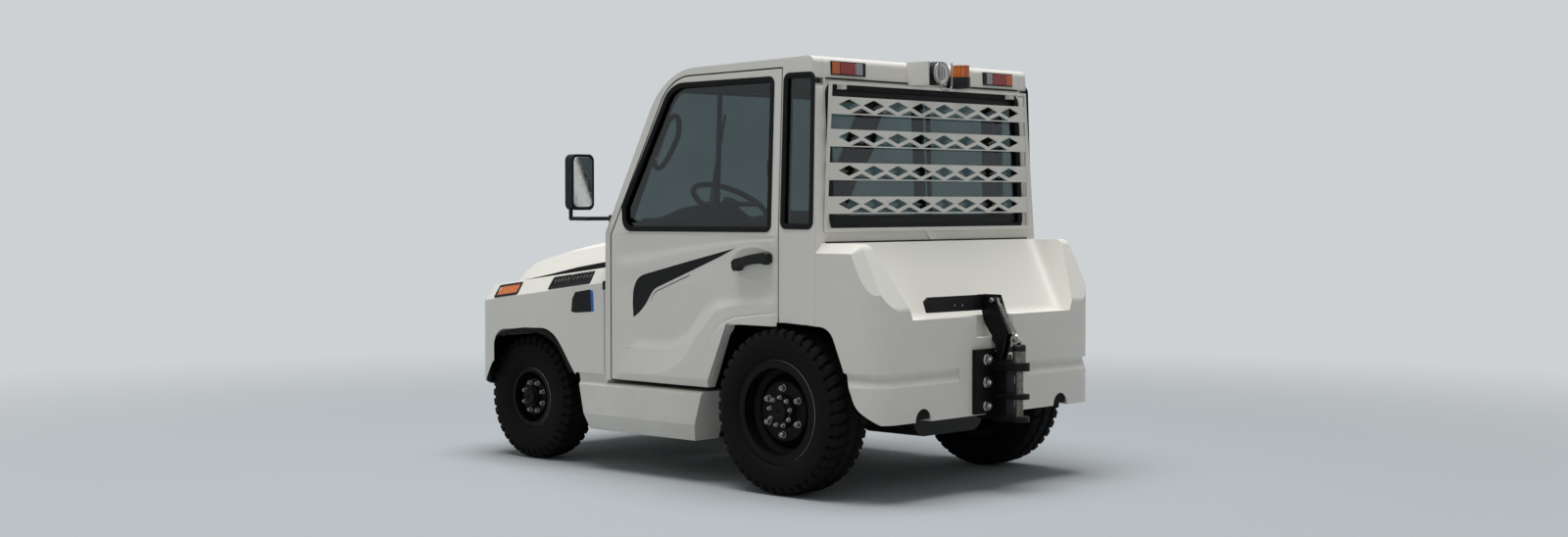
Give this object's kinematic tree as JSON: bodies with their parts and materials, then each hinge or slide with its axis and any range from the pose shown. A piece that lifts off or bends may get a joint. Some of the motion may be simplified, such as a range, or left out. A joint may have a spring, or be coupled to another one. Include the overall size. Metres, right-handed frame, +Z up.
{
  "type": "airport tow tractor",
  "caption": "Two-seat airport tow tractor with enclosed cab, steered front wheels, hinged doors and bonnet, rear window guard and pin hitch.",
  "frame": {"origin": "on the ground below the middle of the tractor's length and width", "axes": "+X to the tractor's left, +Y rearwards to the hitch, +Z up"},
  "size_m": [1.788, 2.788, 1.8271],
  "materials": {
    "white_paint": "gloss",
    "chassis_paint": "satin",
    "black_plastic": "matt",
    "rim_paint": "satin",
    "tyre": "matt",
    "glass": "clear",
    "clear_lens": "clear",
    "red_lens": "clear",
    "amber_lens": "clear",
    "hitch_paint": "satin",
    "pin_steel": "worn",
    "seat_cloth": "woven",
    "dash_plastic": "grained",
    "floor_rubber": "matt"
  },
  "bodies": {
    "tractor": {"chassis_frame": "chassis_paint", "front_axle": "chassis_paint", "rear_axle": "chassis_paint", "power_unit": "chassis_paint", "rear_body": "white_paint", "cab_floor": "floor_rubber", "cab_side_left": "white_paint", "cab_side_right": "white_paint", "cab_roof": "white_paint", "cab_rear_wall": "white_paint", "cab_front_wall": "white_paint", "cab_windows": "glass", "side_skirts": "white_paint", "fender_left": "white_paint", "fender_right": "white_paint", "nose_panel": "white_paint", "headlamps": "clear_lens", "turn_lamps": "amber_lens", "rear_guard": "white_paint", "tail_lamps": "red_lens", "work_lamp": "black_plastic", "beacon": "amber_lens", "mirrors": "black_plastic", "hitch_bracket": "hitch_paint", "hitch_pin": "pin_steel", "hitch_lever": "hitch_paint", "seat_cushions": "seat_cloth", "seat_backs": "seat_cloth", "dashboard": "dash_plastic"},
    "bonnet": {"bonnet": "white_paint"},
    "door_left": {"door_left": "white_paint", "door_glass_left": "glass"},
    "door_right": {"door_right": "white_paint", "door_glass_right": "glass"},
    "steering_wheel": {"steering_wheel": "black_plastic"},
    "knuckle_left": {"knuckle_left": "chassis_paint"},
    "knuckle_right": {"knuckle_right": "chassis_paint"},
    "wheel_front_left": {"front_rim_left": "rim_paint", "front_tyre_left": "tyre"},
    "wheel_front_right": {"front_rim_right": "rim_paint", "front_tyre_right": "tyre"},
    "wheel_rear_left": {"rear_rim_left": "rim_paint", "rear_tyre_left": "tyre"},
    "wheel_rear_right": {"rear_rim_right": "rim_paint", "rear_tyre_right": "tyre"}
  },
  "joints": [
    {"name": "steer_left", "type": "hinge", "parent": "tractor", "child": "knuckle_left", "pos_m": [0.5, -1.0375, 0.294], "axis": [0, 0, 1], "range_deg": [-30, 30]},
    {"name": "steer_right", "type": "hinge", "parent": "tractor", "child": "knuckle_right", "pos_m": [-0.5, -1.0375, 0.294], "axis": [0, 0, 1], "range_deg": [-30, 30]},
    {"name": "steering_wheel_turn", "type": "hinge", "parent": "tractor", "child": "steering_wheel", "pos_m": [0.33, -0.0325, 1.215], "axis": [0, 0.5, 0.866], "range_deg": [-450, 450]},
    {"name": "front_left_spin", "type": "hinge", "parent": "knuckle_left", "child": "wheel_front_left", "pos_m": [0.6, -1.0375, 0.294], "axis": [1, 0, 0], "continuous": true},
    {"name": "front_right_spin", "type": "hinge", "parent": "knuckle_right", "child": "wheel_front_right", "pos_m": [-0.6, -1.0375, 0.294], "axis": [1, 0, 0], "continuous": true},
    {"name": "rear_left_spin", "type": "hinge", "parent": "tractor", "child": "wheel_rear_left", "pos_m": [0.675, 0.6675, 0.35], "axis": [1, 0, 0], "continuous": true},
    {"name": "rear_right_spin", "type": "hinge", "parent": "tractor", "child": "wheel_rear_right", "pos_m": [-0.675, 0.6675, 0.35], "axis": [1, 0, 0], "continuous": true},
    {"name": "door_left_hinge", "type": "hinge", "parent": "tractor", "child": "door_left", "pos_m": [0.75, -0.3775, 1.1], "axis": [0, 0, -1], "range_deg": [0, 70]},
    {"name": "door_right_hinge", "type": "hinge", "parent": "tractor", "child": "door_right", "pos_m": [-0.75, -0.3775, 1.1], "axis": [0, 0, 1], "range_deg": [0, 70]},
    {"name": "bonnet_hinge", "type": "hinge", "parent": "tractor", "child": "bonnet", "pos_m": [0, -0.4325, 1.1], "axis": [-1, 0, 0], "range_deg": [0, 55]}
  ],
  "couplings": [
    {"joint": "steer_right", "follows": "steer_left", "ratio": 1},
    {"joint": "steering_wheel_turn", "follows": "steer_left", "ratio": 15}
  ]
}
